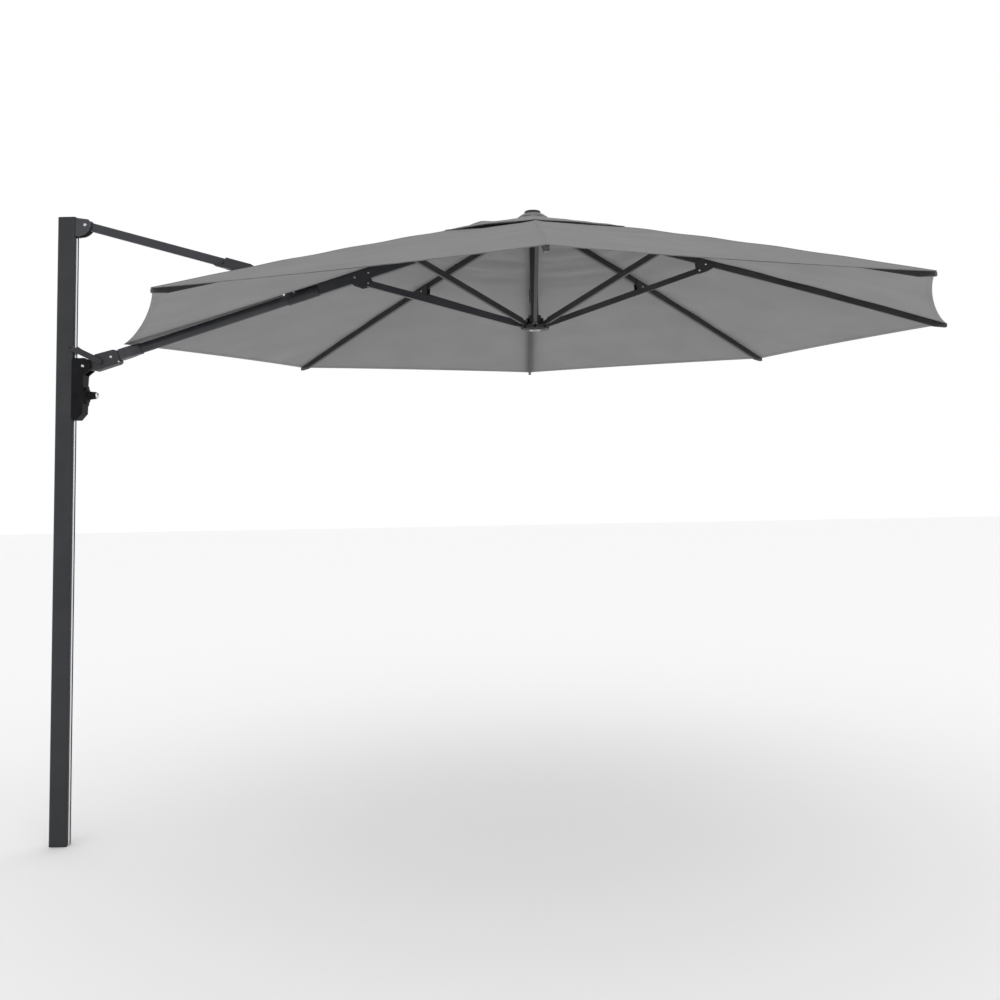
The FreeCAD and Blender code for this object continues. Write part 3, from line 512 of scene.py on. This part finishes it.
def beside_place(panel, s, k):
    """The rest of a panel, from the strip's edge to its middle."""
    r = vent_r + (rim_r - vent_r) * k
    edge = strip_width / (4 * r * math.sin(math.pi / 8))
    from_arm = edge + (0.5 - edge) * (s if s <= 0.5 else 1 - s) / 0.5
    return main_place(panel, from_arm if s <= 0.5 else 1 - from_arm, k)


# Pairs of a darker top copy and a paler underside copy of the cloth: painted shade and painted light.
main_cloth = (cloth, cloth_underside_painted_lighter)
main_hem = (hem_cloth, hem_underside_painted_lighter)
for azimuth in cloth_azimuths:
    name = body_at[azimuth]
    opening = in_strut_slot if azimuth == arm_azimuth else None
    seam, _ = gore(f"seam_{name}", azimuth, seam_across, crown_to_rim, seam_place, main_hem,
                   cloth_thick * 0.5, opening, cloth_thick * 0.7)
    if azimuth == arm_azimuth:
        strip, strip_area = gore("canopy_arm_strip", azimuth, strip_across, crown_to_rim, strip_place,
                                 main_cloth, cloth_thick, opening)
        strip_hem, _ = gore("hem_arm_strip", azimuth, strip_across, hem_stations, strip_place, main_hem,
                            hem_thick)
        for piece in (strip, strip_hem, seam):
            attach(piece, name)
        for sign, hand in ((-1, "far"), (1, "near")):
            side_cloth, side_area = gore(f"canopy_arm_{hand}", azimuth, half_panel, crown_to_rim,
                                         beside_place, main_cloth, cloth_thick, sides=(sign,))
            side_hem, _ = gore(f"hem_arm_{hand}", azimuth, half_panel, hem_stations, beside_place,
                               main_hem, hem_thick, sides=(sign,))
            for piece in (side_cloth, side_hem):
                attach(piece, name)
                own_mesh(piece)
        continue
    sheet, sheet_area = gore(f"canopy_{name}", azimuth, half_panel, crown_to_rim, main_place,
                             main_cloth, cloth_thick)
    hem, _ = gore(f"hem_{name}", azimuth, half_panel, hem_stations, main_place, main_hem, hem_thick)
    for piece in (sheet, hem, seam):
        fold_with_rib(piece, azimuth)
    if azimuth == 0:
        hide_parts("canopy")

# ------------------------------------------------------------------ vent flap and dome
# A smaller octagon of the same cloth covers the vent. Its edge, which stands off in waves, carries a dark
# band that is painted shade for the shadow under the edge.
# The finial clamps its middle down over the crown, which pushes it up into a small dome.
flap_r = 0.475
dome_r = 0.062


def flap_height(azimuth, r):
    """Height of the flap: a small dome over the crown, then an even slope, lifted by the arm's end."""
    ring = ((0.012, 0.4845), (0.034, 0.4835), (0.046, 0.478), (0.058, 0.469), (0.072, 0.4575), (0.10, 0.4485),
            (0.16, 0.4345), (0.26, 0.4080), (0.36, 0.3805), (0.50, 0.3415))
    for (r0, z0), (r1, z1) in zip(ring, ring[1:]):
        if r <= r1:
            share = max(0.0, (r - r0) / (r1 - r0))
            share = share * share * (3 - 2 * share) * 0.4 + share * 0.6
            z = rim_z + z0 + (z1 - z0) * share
            return max(z, arm_top(r) + 0.004) if azimuth == arm_azimuth and r > 0.08 else z
    return rim_z + ring[-1][1]


def flap_place(panel, s, k):
    """The flap lies slack: each hem stands off a little, and a puff of cloth stands up beside the arm."""
    spot = on_panel(panel, s, k, dome_r - 0.002, lambda end: flap_r, flap_height, 0.012)
    lift = (0.004, 0.003, 0.006, 0.008, 0.011, 0.006, 0.003, 0.004)[panel % 8]
    puff = math.exp(-((spot.x - 1.675) ** 2 + (spot.y + 0.19) ** 2) / 0.055 ** 2)
    spot.z += k * k * (3 - 2 * k) * lift * math.sin(math.pi * s) ** 2 + 0.012 * puff
    return spot


flap_stations = [i / 18 for i in range(19)]
flap_edge_shade_stations = (0.965, 0.985, 1.0)
for azimuth in cloth_azimuths:
    name = body_at[azimuth]
    flap, flap_area = gore(f"vent_flap_{name}", azimuth, half_panel, flap_stations, flap_place,
                           main_cloth, cloth_thick)
    # A dark band along the flap's edge, painted shade where the lifted edge shades the cloth below.
    flap_edge_shade_band, _ = gore(f"vent_edge_shade_band_{name}", azimuth, half_panel, flap_edge_shade_stations, flap_place,
                      (flap_edge_painted_shade, flap_edge_painted_shade), cloth_thick * 3.0)
    for piece in (flap, flap_edge_shade_band):
        fold_with_rib(piece, azimuth)
    if azimuth == 0:
        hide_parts("vent_flap")

rings = [0.0125, 0.020, 0.028, 0.034, 0.040, 0.046, 0.052, 0.058, 0.0625]
turns = 48
vertices, faces = [], []
for r in rings:
    for t in range(turns):
        vertices.append(from_hub(360 * t / turns, r, 0, flap_height(0, r) + 0.0004))
for i in range(len(rings) - 1):
    for t in range(turns):
        a, b = i * turns + t, i * turns + (t + 1) % turns
        faces.append((a, a + turns, b + turns, b))
dome = piece_of("crown_dome", vertices, faces, cloth)
dome.data.uv_layers.new(name="UVMap")
for loop in dome.data.loops:
    spot = dome.data.vertices[loop.vertex_index].co
    dome.data.uv_layers[0].data[loop.index].uv = (spot.x - hub_x, spot.y)
dome_thick = dome.modifiers.new("thickness", "SOLIDIFY")
dome_thick.thickness = cloth_thick
dome_thick.offset = 0
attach(dome, "crown")

# ------------------------------------------------------------------ studio
# A wide pale floor, an even white surround and one large soft light from the front.
floor_half, floor_z = 30, -0.001
floor_white, _, floor_shader = new_finish("floor_white", 0.9)
floor_shader.inputs["Base Color"].default_value = (0.93, 0.93, 0.93, 1)
corners = [(x * floor_half, y * floor_half, floor_z) for x, y in ((-1, -1), (1, -1), (1, 1), (-1, 1))]
floor = piece_of("floor", corners, [(0, 1, 2, 3)], floor_white, False)
world = bpy.data.worlds.new("surround")
world.use_nodes = True
world.node_tree.nodes["Background"].inputs["Color"].default_value = (1, 1, 1, 1)
world.node_tree.nodes["Background"].inputs["Strength"].default_value = 1.0
bpy.context.scene.world = world
lamp_data = bpy.data.lights.new("soft_front", "AREA")
lamp_data.size = 6
lamp_data.energy = 45
lamp = bpy.data.objects.new("soft_front", lamp_data)
lamp.location = (3.5, -5.5, 5.5)
lamp.rotation_euler = (Vector((1.9, 0, 1.8)) - lamp.location).to_track_quat("-Z", "Y").to_euler()
bpy.context.scene.collection.objects.link(lamp)
